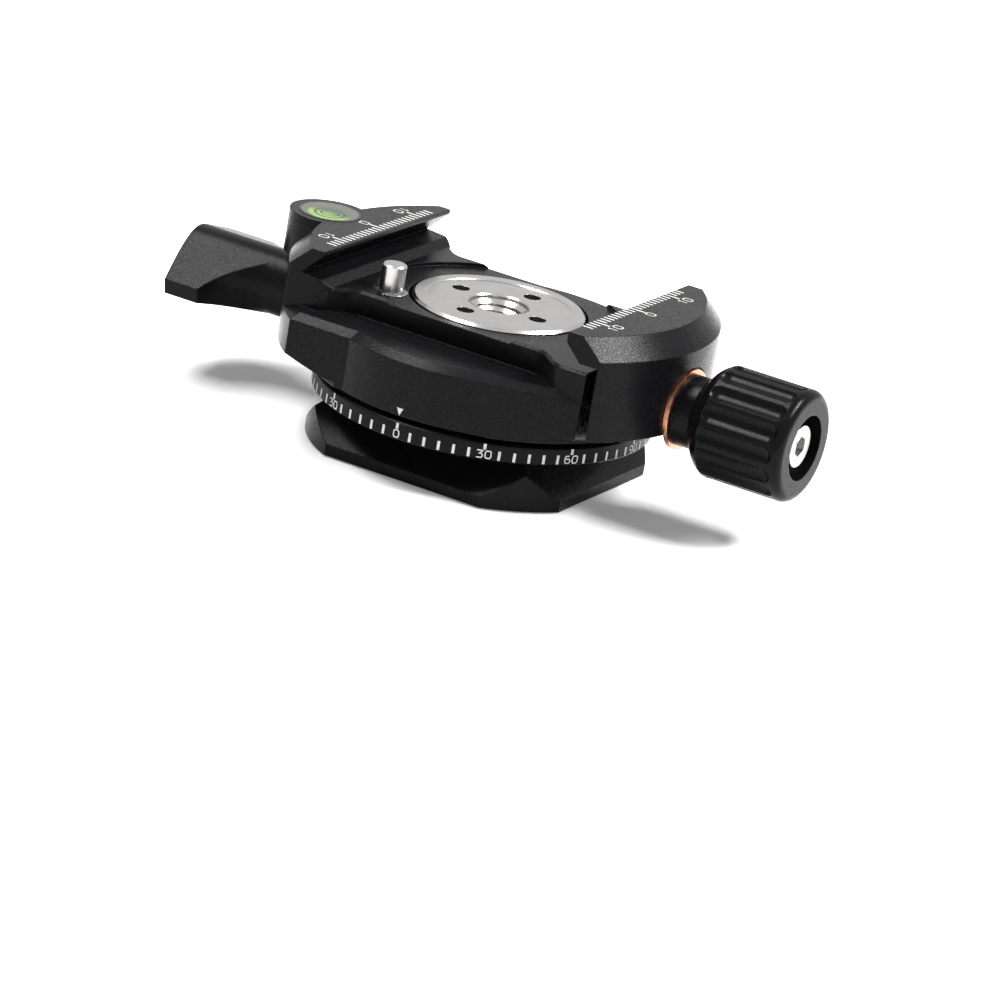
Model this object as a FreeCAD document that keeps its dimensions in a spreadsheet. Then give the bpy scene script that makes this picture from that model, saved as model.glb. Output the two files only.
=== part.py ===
"""Panoramic tripod head: a dovetail foot and degree ring, a panning body with a dovetail clamp on top.

+Z is up and the origin is the middle of the foot's underside, on the pan axis. +X points to the
clamp knob and the moving jaw, -X to the pan lock lever, the fixed jaw and the bubble level.
Every size is a cell of the sheet. A Size carries the value and the formula of a cell, so that
each feature is drawn at its value and stays bound to the sheet. All lengths are millimetres.
"""
import FreeCAD, Part
import math
import operator
import os
from types import SimpleNamespace

import Sketcher

SIZES = {
    # Foot: a square dovetail with cut corners, and a round hub inside the degree ring.
    "foot_width": 38.0,
    "foot_corner_radius": 22.2,
    "foot_rim": 1.5,
    "foot_height": 6.3,
    "foot_groove_inner": 10.9,
    "foot_groove_outer": 15.6,
    "foot_groove_depth": 0.4,
    "hub_radius": 14.0,
    "hub_rise": 2.15,
    "tripod_thread_radius": 3.175,
    "foot_mouth_radius": 3.35,
    "spanner_hole_radius": 1.4,
    "spanner_hole_circle": 7.7,
    "spanner_hole_depth": 2.4,
    "spanner_hole_turn": 3.5,
    # Degree ring, whose radius the body's lower storey shares.
    "ring_radius": 22.3,
    "ring_height": 2.45,
    "ring_chamfer": 0.25,
    # Pan spindle and the disc that closes it.
    "spindle_radius": 9.5,
    "spindle_seat": 4.5,
    "spindle_relief_radius": 3.6,
    "spindle_relief_depth": 2.0,
    "spindle_mouth_radius": 3.7,
    "spindle_neck_radius": 5.2,
    "spindle_neck_rise": 1.7,
    "spindle_thread_depth": 6.5,
    "brake_groove_depth": 0.5,
    "brake_groove_width": 3.2,
    "disc_radius": 11.3,
    "disc_height": 2.4,
    "disc_bevel": 0.35,
    "disc_rim_inner": 9.6,
    "disc_rim_step": 0.15,
    "disc_eye_radius": 3.9,
    "disc_eye_chamfer": 0.2,
    "disc_hole_radius": 1.15,
    "disc_hole_circle": 6.6,
    "disc_hole_turn": -11.6,
    "disc_gap": 0.4,
    "disc_sink": 0.1,
    "slide_washer_height": 1.0,
    "upper_washer_height": 0.5,
    "preload_washer_height": 0.65,
    # Panning body.
    "pan_gap": 0.75,
    "body_end_radius": 27.5,
    "body_front": 20.0,
    "body_flat_angle": 18.0,
    "body_skirt_radius": 22.9,
    "body_skirt_step": 0.6,
    "body_cone_radius": 24.0,
    "body_cone_start": 10.3,
    "body_cone_end": 11.8,
    "shelf_height": 17.2,
    "shelf_chamfer": 1.4,
    "shelf_chamfer_drop": 0.8,
    "deck_height": 20.4,
    "deck_waist_step": 3.3,
    "deck_waist_length": 13.8,
    "deck_slant_length": 3.4,
    "deck_corner_radius": 2.6,
    "deck_chamfer": 0.35,
    "deck_recess_radius": 15.7,
    "deck_recess_depth": 0.5,
    # Jaws.
    "jaw_width": 32.4,
    "jaw_rise": 4.6,
    "jaw_chamfer_run": 2.35,
    "jaw_chamfer_drop": 2.7,
    "fixed_lip": 17.5,
    "fixed_lip_land": 0.5,
    "fixed_undercut": 3.0,
    "rail_rise": 0.85,
    "rail_foot": 16.2,
    "moving_lip": 17.2,
    "moving_lip_land": 1.4,
    "moving_undercut": 2.2,
    "jaw_opening": 1.2,
    "jaw_thickness": 5.5,
    "jaw_face_gap": 0.2,
    # Clamp screw, knob and the guides of the moving jaw.
    "clamp_axis_height": 14.4,
    "clamp_spindle_radius": 2.5,
    "clamp_spindle_reach": 8.2,
    "knob_pocket_radius": 5.6,
    "knob_pocket_depth": 0.5,
    "copper_washer_radius": 5.3,
    "copper_washer_height": 0.6,
    "knob_neck_radius": 4.7,
    "knob_neck_length": 2.4,
    "knob_neck_fillet": 0.7,
    "knob_shoulder_length": 2.1,
    "knob_shoulder_radius": 4.0,
    "knob_radius": 7.4,
    "knob_length": 16.85,
    "knob_end_radius": 1.3,
    "knob_end_recess_radius": 4.3,
    "knob_end_recess_depth": 2.2,
    "knob_screw_seat": 2.7,
    "flute_count": 16,
    "flute_radius": 1.65,
    "flute_depth": 0.55,
    "flute_margin": 1.0,
    "guide_spacing": 18.0,
    "guide_radius": 1.5,
    "guide_reach": 9.8,
    "guide_grip": 2.8,
    "guide_tip_gap": 0.5,
    "guide_spring_radius": 2.1,
    "guide_spring_wire": 0.4,
    "guide_spring_turns": 3.0,
    "guide_spring_seat": 4.2,
    # Pan lock.
    "lock_axis_height": 13.6,
    "shoe_radius": 3.1,
    "shoe_gap": 0.22,
    "shoe_end": 13.2,
    "lock_stud_radius": 2.5,
    "lever_washer_radius": 4.1,
    "lever_washer_height": 0.4,
    "lever_collar_radius": 4.0,
    "lever_collar_height": 0.6,
    "lever_gap": 0.3,
    "lever_radius": 4.35,
    "lever_length": 16.5,
    "lever_long_wing": 9.35,
    "lever_short_wing": 7.15,
    "lever_wing_tip": 2.05,
    "lever_bevel": 1.1,
    "lever_root_length": 2.7,
    "lever_scoop_radius": 8.3,
    "lever_turn": 14.0,
    "lever_end_bore_radius": 3.3,
    "lever_end_bore_depth": 2.4,
    "lever_screw_seat": 2.5,
    # Socket screws in the ends of the knob and the lever.
    "end_screw_radius": 2.75,
    "end_screw_height": 2.0,
    "end_screw_shank": 1.3,
    "end_screw_grip": 4.0,
    "end_screw_tip_gap": 0.3,
    "end_screw_socket": 1.4,
    "end_screw_socket_depth": 1.2,
    # Stop pin.
    "pin_x": -11.4,
    "pin_y": -8.3,
    "pin_radius": 1.6,
    "pin_top": 23.8,
    "pin_crown": 0.2,
    "pin_collar_radius": 1.95,
    "pin_collar_height": 0.8,
    "pin_bush_radius": 2.2,
    "pin_bush_bottom": 17.2,
    "pin_bush_proud": 0.25,
    "pin_plug_height": 0.7,
    "pin_plug_sink": 0.1,
    "pin_spring_wire": 0.35,
    "pin_spring_radius": 1.5,
    "pin_spring_turns": 5.0,
    # Bubble level.
    "level_inset": 1.0,
    "level_boss_radius": 5.3,
    "level_boss_bottom": 19.3,
    "level_proud": 0.05,
    "level_radius": 4.1,
    "level_depth": 4.6,
    "level_wall": 0.3,
    "level_floor": 0.6,
    "level_lens_height": 1.0,
    "level_bubble_radius": 1.3,
    "level_bubble_height": 0.5,
    # Fits.
    "seat_clearance": 0.02,
    "running_clearance": 0.05,
}

# How far a cutting tool runs past the face that it opens, and how near a height counts as equal.
OVERRUN = 1.0
NEAR = 0.01

OPERATIONS = {"+": operator.add, "-": operator.sub, "*": operator.mul, "/": operator.truediv}


class Size:
    """A number of the model: its value and the formula that gives it in the document."""

    def __init__(self, value, text):
        self.value = float(value)
        self.text = text

    def __add__(self, other):
        return joined(self, "+", other)

    def __radd__(self, other):
        return joined(other, "+", self)

    def __sub__(self, other):
        return joined(self, "-", other)

    def __rsub__(self, other):
        return joined(other, "-", self)

    def __mul__(self, other):
        return joined(self, "*", other)

    def __rmul__(self, other):
        return joined(other, "*", self)

    def __truediv__(self, other):
        return joined(self, "/", other)

    def __neg__(self):
        return joined(-1.0, "*", self)


def size(number):
    """Give a plain number the form of a Size."""
    return number if isinstance(number, Size) else Size(number, f"({float(number)!r})")


def joined(left, sign, right):
    left, right = size(left), size(right)
    return Size(OPERATIONS[sign](left.value, right.value), f"({left.text} {sign} {right.text})")


def sine(angle):
    return Size(math.sin(math.radians(angle.value)), f"sin({angle.text} * 1deg)")


def cosine(angle):
    return Size(math.cos(math.radians(angle.value)), f"cos({angle.text} * 1deg)")


def root(number):
    return Size(math.sqrt(number.value), f"sqrt({number.text})")


doc = FreeCAD.newDocument("PanoramicHead")
sheet = doc.addObject("Spreadsheet::Sheet", "Sizes")
for row, (alias, number) in enumerate(SIZES.items(), start=1):
    sheet.set(f"A{row}", alias)
    sheet.set(f"B{row}", str(number))
    sheet.setAlias(f"B{row}", alias)
doc.recompute()
s = SimpleNamespace(**{alias: Size(sheet.get(alias), f"Sizes.{alias}") for alias in SIZES})

Z_UP = FreeCAD.Rotation()
X_OUT = FreeCAD.Rotation(FreeCAD.Vector(0, 1, 0), 90)
X_BACK = FreeCAD.Rotation(FreeCAD.Vector(0, 1, 0), -90)
LEFT, RIGHT = 1, -1
nodes = []


# Helpers: bound properties, primitives, profiles and booleans.


def bind(item, name, number):
    """Tie one property of a document object to the sheet."""
    item.setExpression(name, size(number).text)


def place(item, at, turn=Z_UP):
    """Put an object at a point whose coordinates follow the sheet."""
    item.Placement = FreeCAD.Placement(FreeCAD.Vector(), turn)
    for letter, number in zip("xyz", at):
        bind(item, f"Placement.Base.{letter}", number)
    return item


def cylinder(name, radius, length, at=(0, 0, 0), turn=Z_UP):
    item = doc.addObject("Part::Cylinder", name)
    bind(item, "Radius", radius)
    bind(item, "Height", length)
    return place(item, at, turn)


def cone(name, radius, end_radius, length, at=(0, 0, 0), turn=Z_UP):
    item = doc.addObject("Part::Cone", name)
    bind(item, "Radius1", radius)
    bind(item, "Radius2", end_radius)
    bind(item, "Height", length)
    return place(item, at, turn)


def ball(name, radius, at):
    item = doc.addObject("Part::Sphere", name)
    bind(item, "Radius", radius)
    return place(item, at)


def box(name, lengths, at):
    item = doc.addObject("Part::Box", name)
    for side, number in zip(("Length", "Width", "Height"), lengths):
        bind(item, side, number)
    return place(item, at)


def hexagon(name, radius, length, at, turn=Z_UP):
    item = doc.addObject("Part::Prism", name)
    item.Polygon = 6
    bind(item, "Circumradius", radius)
    bind(item, "Height", length)
    return place(item, at, turn)


def outline(body, plane, points):
    """Draw a closed outline whose corners are held by bound distances.

    A corner is (across, up), or (across, up, radius, turn) where an arc leads to the next one.
    """
    sketch = body.newObject("Sketcher::SketchObject", f"{body.Name}Outline")
    support = next(item for item in body.Origin.OriginFeatures if item.Role == plane)
    sketch.AttachmentSupport = [(support, "")]
    sketch.MapMode = "FlatFace"
    corners = [FreeCAD.Vector(size(point[0]).value, size(point[1]).value, 0) for point in points]
    ends = []
    for index, point in enumerate(points):
        following = corners[(index + 1) % len(corners)]
        ends.append(drawn_side(sketch, corners[index], following, *point[2:]))
    for index, point in enumerate(points):
        following = (index + 1) % len(points)
        joint = Sketcher.Constraint("Coincident", index, ends[index][1], following, ends[following][0])
        sketch.addConstraint(joint)
        for kind, number in zip(("DistanceX", "DistanceY"), point[:2]):
            hold(sketch, number, kind, -1, 1, index, ends[index][0])
        if len(point) > 2:
            hold(sketch, point[2], "Radius", index)
    return sketch


def hold(sketch, number, kind, *items):
    """Add one measured constraint and tie it to the sheet."""
    place_in_list = sketch.addConstraint(Sketcher.Constraint(kind, *items, size(number).value))
    bind(sketch, f"Constraints[{place_in_list}]", number)


def drawn_side(sketch, first, last, radius=None, turn=LEFT):
    """Draw one side of an outline, and say which of its ends comes first and which last."""
    if radius is None:
        sketch.addGeometry(Part.LineSegment(first, last))
        return 1, 2
    chord = last - first
    leftward = FreeCAD.Vector(-chord.y, chord.x, 0).normalize()
    offset = math.sqrt(radius.value ** 2 - (chord.Length / 2) ** 2)
    centre = (first + last) / 2 + leftward * (turn * offset)
    circle = Part.Circle(centre, FreeCAD.Vector(0, 0, 1), radius.value)
    sweep = (first, last) if turn == LEFT else (last, first)
    angles = [math.atan2(end.y - centre.y, end.x - centre.x) for end in sweep]
    sketch.addGeometry(Part.ArcOfCircle(circle, *angles))
    return (1, 2) if turn == LEFT else (2, 1)


def turned(name, points, at=(0, 0, 0), turn=Z_UP):
    """Turn an outline of (radius, height) corners about its own Z axis."""
    body = doc.addObject("PartDesign::Body", name)
    sketch = outline(body, "XZ_Plane", points)
    feature = body.newObject("PartDesign::Revolution", f"{name}Turned")
    feature.Profile = sketch
    feature.ReferenceAxis = (sketch, ["V_Axis"])
    feature.Angle = 360
    body.Tip = feature
    return place(body, at, turn)


def padded(name, plane, points, length, at=(0, 0, 0), turn=Z_UP):
    """Pad an outline from its plane; on XZ_Plane the pad grows towards -Y."""
    body = doc.addObject("PartDesign::Body", name)
    sketch = outline(body, plane, points)
    feature = body.newObject("PartDesign::Pad", f"{name}Padded")
    feature.Profile = sketch
    bind(feature, "Length", length)
    body.Tip = feature
    return place(body, at, turn)


def gathered(kind, name, items):
    item = doc.addObject(kind, name)
    item.Shapes = list(items)
    return item


def fused(name, *items):
    return gathered("Part::MultiFuse", name, items)


def common(name, *items):
    return gathered("Part::MultiCommon", name, items)


def cut(name, base, *tools):
    item = doc.addObject("Part::Cut", name)
    item.Base = base
    item.Tool = tools[0] if len(tools) == 1 else fused(f"{name}Tools", *tools)
    return item


def node(item, label):
    """Name a finished sub-part."""
    item.Label = label
    nodes.append(item)
    return item


def mirrored(points):
    """Close an outline with its own mirror image across the X axis."""
    return points + [(across, -up) for across, up in reversed(points)]


def ring(name, inner, outer, height, at=(0, 0, 0), turn=Z_UP):
    return turned(name, [(inner, 0), (outer, 0), (outer, height), (inner, height)], at, turn)


def around(name, count, circle, radius, length, height, start):
    """Cylinders stood in a circle about the pan axis, the first at angle start."""
    items = []
    for index in range(count):
        angle = start + index * 360.0 / count
        at = (circle * cosine(angle), circle * sine(angle), height)
        items.append(cylinder(f"{name}{index}", radius, length, at))
    return items


def coil(radius, wire, turns, length):
    """A helical spring along +Z, of its full length over the wire."""
    pitch = (length - 2 * wire) / turns
    helix = Part.makeHelix(pitch, length - 2 * wire, radius)
    section = Part.Wire(Part.makeCircle(wire / 2, FreeCAD.Vector(radius, 0, 0), FreeCAD.Vector(0, 1, 0)))
    spring = Part.Wire(helix).makePipeShell([section], True, True)
    spring.translate(FreeCAD.Vector(0, 0, wire))
    return spring


def solid_feature(label, shape):
    item = doc.addObject("Part::Feature", label)
    item.Shape = shape
    return node(item, label)


# Heights and places that several pieces share.

ring_bottom = s.foot_height
ring_top = ring_bottom + s.ring_height
hub_top = s.foot_height + s.hub_rise
body_bottom = ring_top + s.pan_gap
jaw_top = s.deck_height + s.jaw_rise
disc_top = s.deck_height - s.disc_sink
disc_bottom = disc_top - s.disc_height
well_floor = disc_bottom - s.upper_washer_height - s.preload_washer_height - s.running_clearance
well_radius = s.disc_radius + s.disc_gap
spindle_top = disc_bottom + s.spindle_neck_rise
spindle_bore = s.spindle_radius + s.running_clearance
recess_floor = s.deck_height - s.deck_recess_depth
body_right_end = s.body_end_radius - s.jaw_thickness - s.jaw_face_gap
jaw_face = body_right_end + s.jaw_opening + s.jaw_face_gap
spring_seat = body_right_end - s.guide_spring_seat
knob_pocket_face = s.body_end_radius + s.jaw_opening - s.knob_pocket_depth
knob_start = knob_pocket_face + s.copper_washer_height + s.running_clearance
knob_end = knob_start + s.knob_length
clamp_spindle_end = knob_end - s.knob_screw_seat
lever_washer_start = s.body_end_radius + s.lever_gap
lever_start = lever_washer_start + s.lever_washer_height + s.lever_collar_height
lever_end = lever_start + s.lever_length
lock_stud_end = lever_end - s.lever_screw_seat
level_x = -(s.body_end_radius - s.level_inset)
level_top = jaw_top + s.level_proud


# Foot, degree ring, pan spindle and disc: the pieces that stay still.


def base_plate():
    half = s.foot_width / 2
    neck = half - (s.foot_height - s.foot_rim)
    flank = [(-half, 0), (half, 0), (half, s.foot_rim), (neck, s.foot_height),
             (-neck, s.foot_height), (-half, s.foot_rim)]
    along = padded("FootAlong", "XZ_Plane", flank, s.foot_width, (0, half, 0))
    across = padded("FootAcross", "YZ_Plane", flank, s.foot_width, (-half, 0, 0))
    corners = cylinder("FootCorners", s.foot_corner_radius, s.foot_height)
    foot = common("Foot", along, across, corners)
    hub = cylinder("Hub", s.hub_radius, hub_top)
    seat = cylinder("SpindleSeat", s.spindle_radius + s.seat_clearance, hub_top, (0, 0, s.spindle_seat))
    groove = ring("FootGroove", s.foot_groove_inner, s.foot_groove_outer, s.foot_groove_depth)
    thread = cylinder("TripodThread", s.tripod_thread_radius, s.foot_height)
    mouth = cone("TripodMouth", s.foot_mouth_radius, s.tripod_thread_radius,
                 s.foot_mouth_radius - s.tripod_thread_radius)
    holes = around("SpannerHole", 4, s.spanner_hole_circle, s.spanner_hole_radius,
                   s.spanner_hole_depth, 0, s.spanner_hole_turn)
    node(cut("BasePlate", fused("FootAndHub", foot, hub), seat, groove, thread, mouth, *holes),
         "base_plate")


def scale_ring():
    inner = s.hub_radius + s.seat_clearance
    edge = s.ring_radius - s.ring_chamfer
    profile = [(inner, 0), (edge, 0), (s.ring_radius, s.ring_chamfer),
               (s.ring_radius, s.ring_height - s.ring_chamfer), (edge, s.ring_height),
               (inner, s.ring_height)]
    node(turned("ScaleRing", profile, (0, 0, ring_bottom)), "scale_ring")


def pan_spindle():
    groove = s.spindle_radius - s.brake_groove_depth
    low = s.lock_axis_height - s.brake_groove_width / 2
    high = s.lock_axis_height + s.brake_groove_width / 2
    flare = s.spindle_mouth_radius - s.tripod_thread_radius
    relief_top = s.spindle_seat + s.spindle_relief_depth
    thread_bottom = spindle_top - s.spindle_thread_depth
    profile = [(0, relief_top), (s.spindle_relief_radius, relief_top),
               (s.spindle_relief_radius, s.spindle_seat), (s.spindle_radius, s.spindle_seat),
               (s.spindle_radius, low - s.brake_groove_depth), (groove, low), (groove, high),
               (s.spindle_radius, high + s.brake_groove_depth), (s.spindle_radius, disc_bottom),
               (s.spindle_neck_radius, disc_bottom), (s.spindle_neck_radius, spindle_top),
               (s.spindle_mouth_radius, spindle_top), (s.tripod_thread_radius, spindle_top - flare),
               (s.tripod_thread_radius, thread_bottom), (0, thread_bottom)]
    node(turned("PanSpindle", profile), "pan_spindle")


def top_disc():
    neck = s.spindle_neck_radius + s.seat_clearance
    face = disc_top - s.disc_rim_step
    profile = [(neck, disc_bottom), (s.disc_radius, disc_bottom),
               (s.disc_radius, disc_top - s.disc_bevel), (s.disc_radius - s.disc_bevel, disc_top),
               (s.disc_rim_inner, disc_top), (s.disc_rim_inner - s.disc_rim_step, face),
               (s.disc_eye_radius + s.disc_eye_chamfer, face),
               (s.disc_eye_radius, face - s.disc_eye_chamfer), (s.disc_eye_radius, spindle_top),
               (neck, spindle_top)]
    blank = turned("DiscBlank", profile)
    holes = around("DiscHole", 4, s.disc_hole_circle, s.disc_hole_radius, s.disc_height,
                   disc_bottom, s.disc_hole_turn)
    node(cut("TopDisc", blank, *holes), "top_disc")


def pan_washers():
    node(ring("LowerSlide", spindle_bore, s.hub_radius - s.running_clearance,
              s.slide_washer_height, (0, 0, hub_top)), "lower_slide_washer")
    low = well_floor + s.running_clearance
    rim = s.disc_radius - s.running_clearance
    node(ring("UpperSlide", spindle_bore, rim, s.upper_washer_height, (0, 0, low)),
         "upper_slide_washer")
    node(ring("Preload", spindle_bore, rim, s.preload_washer_height,
              (0, 0, low + s.upper_washer_height)), "preload_washer")


# Panning body with the fixed jaw.


def envelope(name, shift):
    """The turned outside of a jaw: cone below, upright wall, sloping shoulder on top."""
    wall = s.body_end_radius
    profile = [(0, body_bottom), (s.body_skirt_radius, body_bottom),
               (s.body_skirt_radius, body_bottom + s.body_skirt_step),
               (s.body_cone_radius, s.body_cone_start), (wall, s.body_cone_end),
               (wall, jaw_top - s.jaw_chamfer_drop), (wall - s.jaw_chamfer_run, jaw_top),
               (0, jaw_top)]
    return turned(name, profile, (shift, 0, 0))


def shelf():
    """The broad lower storey: a plan with a sloped upper edge, within round ends that slope likewise."""
    far = s.body_end_radius + OVERRUN
    touch = s.ring_radius * sine(s.body_flat_angle)
    touch_y = s.ring_radius * cosine(s.body_flat_angle)
    corner_y = touch_y - (body_right_end - touch) * sine(s.body_flat_angle) / cosine(s.body_flat_angle)
    plan = mirrored([(-far, -s.body_front), (0, -s.body_front), (touch, -touch_y),
                     (body_right_end, -corner_y)])
    height = s.shelf_height - body_bottom
    slab = padded("ShelfPlan", "XY_Plane", plan, height, (0, 0, body_bottom))
    drum = cylinder("ShelfDrum", s.ring_radius, height, (0, 0, body_bottom))
    limit = box("ShelfLimit", (far + body_right_end, 2 * far, height), (-far, -far, body_bottom))
    raw = common("ShelfRaw", fused("ShelfWhole", slab, drum), limit)
    doc.recompute()
    item = doc.addObject("Part::Chamfer", "ShelfSloped")
    item.Base = raw
    item.Edges = [(index, s.shelf_chamfer_drop.value, s.shelf_chamfer.value)
                  for index in shelf_edges(raw.Shape)]
    rim = s.body_end_radius
    ends = turned("ShelfEnds", [(0, 0), (rim, 0), (rim, height - s.shelf_chamfer_drop),
                                (rim - s.shelf_chamfer, height), (0, height)], (0, 0, body_bottom))
    return common("Shelf", item, ends)


def shelf_edges(shape):
    """Numbers of the shelf's upper outside edges, leaving out the flat ends on the left and right."""
    left, right = NEAR - s.body_end_radius.value, body_right_end.value - NEAR
    return [index for index, box_ in numbered_edges(shape)
            if box_.ZMin > s.shelf_height.value - NEAR and box_.XMax > left and box_.XMin < right]


def numbered_edges(shape):
    return [(index, edge.BoundBox) for index, edge in enumerate(shape.Edges, start=1)]


def waisted(name, top):
    """The plan of the upper storey, from the shelf up to a height: waisted, with rounded corners."""
    half = s.jaw_width / 2
    far = s.body_end_radius
    waist = half - s.deck_waist_step
    wide_at = s.deck_waist_length + s.deck_slant_length
    plan = mirrored([(-far, -half), (-wide_at, -half), (-s.deck_waist_length, -waist),
                     (s.deck_waist_length, -waist), (wide_at, -half), (body_right_end, -half)])
    foot = s.shelf_height - s.shelf_chamfer_drop
    block = padded(f"{name}Plan", "XY_Plane", plan, top - foot, (0, 0, foot))
    doc.recompute()
    item = doc.addObject("Part::Fillet", name)
    item.Base = block
    radius = s.deck_corner_radius.value
    item.Edges = [(index, radius, radius) for index, box_ in numbered_edges(block.Shape)
                  if box_.ZLength > NEAR and -far.value + NEAR < box_.XMin < body_right_end.value - NEAR]
    return item


def deck():
    """The storey that carries the disc, with its upper edges broken between the jaws."""
    blank = waisted("DeckBlank", s.deck_height)
    doc.recompute()
    item = doc.addObject("Part::Chamfer", "Deck")
    item.Base = blank
    broken = s.deck_chamfer.value
    left, right = NEAR - s.body_end_radius.value, body_right_end.value - NEAR
    item.Edges = [(index, broken, broken) for index, box_ in numbered_edges(blank.Shape)
                  if box_.ZMin > s.deck_height.value - NEAR and box_.XMax > left and box_.XMin < right]
    return item


def fixed_jaw():
    lip_bottom = jaw_top - s.fixed_lip_land
    root_x = s.fixed_lip + s.fixed_undercut
    foot = s.shelf_height
    profile = [(-s.body_end_radius, foot), (-s.rail_foot, foot), (-s.rail_foot, s.deck_height),
               (-s.fixed_lip, s.deck_height + s.rail_rise), (-root_x, lip_bottom - s.fixed_undercut),
               (-s.fixed_lip, lip_bottom), (-s.fixed_lip, jaw_top), (-s.body_end_radius, jaw_top)]
    half = s.jaw_width / 2
    blank = padded("FixedJawBlank", "XZ_Plane", profile, s.jaw_width, (0, half, 0))
    return common("FixedJaw", blank, waisted("JawPlan", jaw_top))


def body_cuts():
    """Bores and pockets of the panning body."""
    reach = s.body_end_radius + OVERRUN
    fit = s.running_clearance
    guide_root = body_right_end - s.guide_reach
    cuts = [
        cylinder("SpindleBore", spindle_bore, jaw_top),
        cylinder("DiscWell", well_radius, jaw_top, (0, 0, well_floor)),
        cylinder("DeckRecess", s.deck_recess_radius, jaw_top, (0, 0, recess_floor)),
        cylinder("ShoeBore", s.shoe_radius + fit, s.shoe_end + OVERRUN, (0, 0, s.lock_axis_height),
                 X_BACK),
        cylinder("StudBore", s.lock_stud_radius + fit, reach, (0, 0, s.lock_axis_height), X_BACK),
        cylinder("ClampBore", s.clamp_spindle_radius + fit, reach, (0, 0, s.clamp_axis_height), X_OUT),
        cylinder("PinWell", s.pin_bush_radius + s.seat_clearance, jaw_top, (s.pin_x, s.pin_y, 0)),
        cylinder("LevelBore", s.level_radius + s.seat_clearance, jaw_top,
                 (level_x, 0, level_top - s.level_depth)),
    ]
    for side in (-1, 1):
        at_y = s.guide_spacing * side / 2
        cuts.append(cylinder(f"GuideBore{side}", s.guide_radius + fit, reach,
                             (guide_root - s.jaw_opening - s.guide_tip_gap, at_y, s.clamp_axis_height),
                             X_OUT))
        cuts.append(cylinder(f"SpringBore{side}", s.guide_spring_radius + s.guide_spring_wire, reach,
                             (spring_seat, at_y, s.clamp_axis_height), X_OUT))
    return cuts


def head_body():
    storeys = fused("Storeys", shelf(), deck(), fixed_jaw())
    shaped = common("ShapedBody", storeys, envelope("BodyEnvelope", 0))
    boss = cylinder("LevelBoss", s.level_boss_radius, jaw_top - s.level_boss_bottom,
                    (level_x, 0, s.level_boss_bottom))
    node(cut("HeadBody", fused("BodyAndBoss", shaped, boss), *body_cuts()), "head_body")


# Moving jaw, its guides and springs.


def moving_jaw():
    shift = s.jaw_opening
    lip = s.moving_lip + shift
    lip_bottom = jaw_top - s.moving_lip_land
    under = lip_bottom - s.moving_undercut
    far = s.body_end_radius + shift
    half = s.jaw_width / 2
    profile = [(lip, jaw_top), (lip, lip_bottom), (lip + s.moving_undercut, under), (jaw_face, under),
               (jaw_face, body_bottom), (far, body_bottom), (far, jaw_top)]
    blank = padded("JawBlank", "XZ_Plane", profile, s.jaw_width, (0, half, 0))
    shaped = common("JawShaped", blank, envelope("JawEnvelope", shift))
    tools = [
        cylinder("JawBore", s.clamp_spindle_radius + s.running_clearance, far,
                 (jaw_face - OVERRUN, 0, s.clamp_axis_height), X_OUT),
        cylinder("KnobPocket", s.knob_pocket_radius, far,
                 (knob_pocket_face, 0, s.clamp_axis_height), X_OUT),
    ]
    for side in (-1, 1):
        at = (jaw_face - OVERRUN, s.guide_spacing * side / 2, s.clamp_axis_height)
        tools.append(cylinder(f"JawGuideBore{side}", s.guide_radius + s.seat_clearance,
                              s.guide_grip + OVERRUN, at, X_OUT))
    node(cut("MovingJaw", shaped, *tools), "moving_jaw")


def jaw_guides():
    pins = []
    springs = []
    length = jaw_face.value - spring_seat.value
    guide_root = body_right_end - s.guide_reach
    guide_end = jaw_face + s.guide_grip
    for side in (-1, 1):
        at_y = s.guide_spacing * side / 2
        pins.append(cylinder(f"GuidePin{side}", s.guide_radius, guide_end - guide_root,
                             (guide_root, at_y, s.clamp_axis_height), X_OUT))
        spring = coil(s.guide_spring_radius.value, s.guide_spring_wire.value,
                      s.guide_spring_turns.value, length)
        spring.Placement = FreeCAD.Placement(
            FreeCAD.Vector(spring_seat.value, at_y.value, s.clamp_axis_height.value), X_OUT)
        springs.append(spring)
    pair = doc.addObject("Part::Compound", "GuidePins")
    pair.Links = pins
    node(pair, "jaw_guide_pins")
    solid_feature("jaw_springs", Part.makeCompound(springs))


# Clamp screw and knob.


def end_screw(name, label, face, height, turn, sign):
    """A socket head screw whose head sits on the plane at distance face from the pan axis."""
    top = s.end_screw_height
    head = cylinder(f"{name}Head", s.end_screw_radius, top, (sign * face, 0, height), turn)
    shank = cylinder(f"{name}Shank", s.end_screw_shank, s.end_screw_grip + top,
                     (sign * (face - s.end_screw_grip), 0, height), turn)
    socket = hexagon(f"{name}Socket", s.end_screw_socket, top,
                     (sign * (face + top - s.end_screw_socket_depth), 0, height), turn)
    node(cut(name, fused(f"{name}Blank", head, shank), socket), label)


def clamp_spindle():
    tip = body_right_end - s.clamp_spindle_reach
    rod = cylinder("ClampRod", s.clamp_spindle_radius, clamp_spindle_end - tip,
                   (tip, 0, s.clamp_axis_height), X_OUT)
    bore_start = clamp_spindle_end - s.end_screw_grip - s.end_screw_tip_gap
    bore = cylinder("ClampRodBore", s.end_screw_shank + s.seat_clearance, s.end_screw_grip + OVERRUN,
                    (bore_start, 0, s.clamp_axis_height), X_OUT)
    node(cut("ClampSpindle", rod, bore), "clamp_spindle")


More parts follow.
